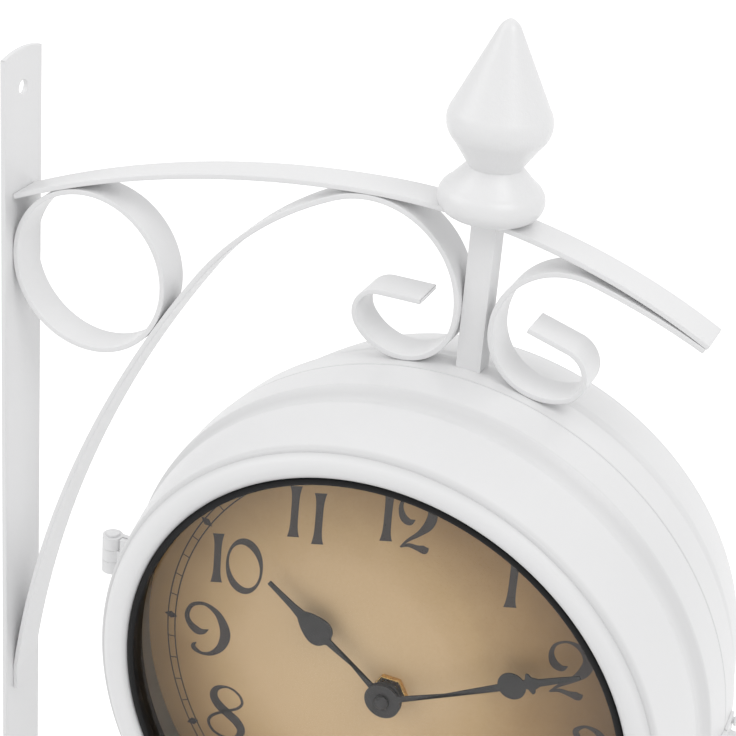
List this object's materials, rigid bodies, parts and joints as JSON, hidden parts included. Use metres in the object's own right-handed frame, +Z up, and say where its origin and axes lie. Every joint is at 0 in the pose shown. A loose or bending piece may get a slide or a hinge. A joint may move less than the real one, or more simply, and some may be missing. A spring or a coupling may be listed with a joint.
{
  "type": "double sided station clock",
  "caption": "Round two-faced clock case hung from a scrolled wall bracket, with a post, a turned finial, glazed dials and a front half that swings open.",
  "frame": {"origin": "in the wall plane, in the middle plane of the bracket bars, midway between the two screw holes of the wall strip", "axes": "+X away from the wall, -Y towards the front dial, +Z up"},
  "size_m": [0.3038, 0.1082, 0.397],
  "materials": {
    "battery": "plain sleeve",
    "bracket_paint": "satin powder coat",
    "brass": "turned",
    "case_paint": "satin powder coat",
    "dial": "printed antique tan",
    "fitting": "satin powder coat",
    "gasket": "soft black rubber",
    "glass": "clear float glass",
    "hands": "dark satin paint",
    "movement": "moulded black",
    "sleeve": "grey reflector paint",
    "steel": "zinc plated",
    "wheel": "moulded acetal"
  },
  "bodies": {
    "bracket_and_rear_case": {"catch_clip": "steel", "finial": "bracket_paint", "finial_stud": "steel", "fitting_rivets_rear": "steel", "hinge_leaf_rear": "fitting", "hinge_pin": "steel", "hoop": "bracket_paint", "large_scroll": "bracket_paint", "post": "bracket_paint", "post_plate": "steel", "post_screw": "steel", "rear_battery": "battery", "rear_battery_contacts": "steel", "rear_bezel_ring": "case_paint", "rear_brass_nut": "brass", "rear_dial": "dial", "rear_dial_brackets": "steel", "rear_dial_screws": "steel", "rear_gasket": "gasket", "rear_glass": "glass", "rear_half_shell": "case_paint", "rear_movement_cover": "movement", "rear_movement_housing": "movement", "rear_rubber_washer": "gasket", "rear_spacer_sleeve": "sleeve", "small_scroll": "bracket_paint", "top_arm": "bracket_paint", "wall_strip": "bracket_paint"},
    "front_case": {"catch_tongue": "fitting", "fitting_rivets_front": "steel", "front_battery": "battery", "front_battery_contacts": "steel", "front_bezel_ring": "case_paint", "front_brass_nut": "brass", "front_dial": "dial", "front_dial_brackets": "steel", "front_dial_screws": "steel", "front_gasket": "gasket", "front_glass": "glass", "front_half_shell": "case_paint", "front_movement_cover": "movement", "front_movement_housing": "movement", "front_rubber_washer": "gasket", "front_spacer_sleeve": "sleeve", "hinge_leaf_front": "fitting"},
    "front_minute": {"front_minute_arbor": "steel", "front_minute_hand": "hands", "front_cap_nut": "hands"},
    "front_hour": {"front_hour_pipe": "brass", "front_hour_hand": "hands"},
    "front_setting": {"front_setting_wheel": "wheel"},
    "rear_minute": {"rear_minute_arbor": "steel", "rear_minute_hand": "hands", "rear_cap_nut": "hands"},
    "rear_hour": {"rear_hour_pipe": "brass", "rear_hour_hand": "hands"},
    "rear_setting": {"rear_setting_wheel": "wheel"}
  },
  "joints": [
    {"name": "front_case_hinge", "type": "hinge", "parent": "bracket_and_rear_case", "child": "front_case", "pos_m": [0.0504, -0.0121, -0.017], "axis": [0, 0, -1], "range_deg": [0, 75]},
    {"name": "front_minute_spin", "type": "hinge", "parent": "front_case", "child": "front_minute", "pos_m": [0.1811, -0.0121, -0.017], "axis": [0, 1, 0], "continuous": true},
    {"name": "front_hour_spin", "type": "hinge", "parent": "front_case", "child": "front_hour", "pos_m": [0.1811, -0.0121, -0.017], "axis": [0, 1, 0], "continuous": true},
    {"name": "front_setting_spin", "type": "hinge", "parent": "front_case", "child": "front_setting", "pos_m": [0.1811, -0.0121, -0.029], "axis": [0, 1, 0], "continuous": true},
    {"name": "rear_minute_spin", "type": "hinge", "parent": "bracket_and_rear_case", "child": "rear_minute", "pos_m": [0.1811, -0.0121, -0.017], "axis": [0, -1, 0], "continuous": true},
    {"name": "rear_hour_spin", "type": "hinge", "parent": "bracket_and_rear_case", "child": "rear_hour", "pos_m": [0.1811, -0.0121, -0.017], "axis": [0, -1, 0], "continuous": true},
    {"name": "rear_setting_spin", "type": "hinge", "parent": "bracket_and_rear_case", "child": "rear_setting", "pos_m": [0.1811, -0.0121, -0.029], "axis": [0, -1, 0], "continuous": true}
  ],
  "couplings": [
    {"joint": "front_hour_spin", "follows": "front_minute_spin", "ratio": 0.083333},
    {"joint": "front_setting_spin", "follows": "front_minute_spin", "ratio": -0.33333},
    {"joint": "rear_hour_spin", "follows": "rear_minute_spin", "ratio": 0.083333},
    {"joint": "rear_setting_spin", "follows": "rear_minute_spin", "ratio": -0.33333}
  ]
}
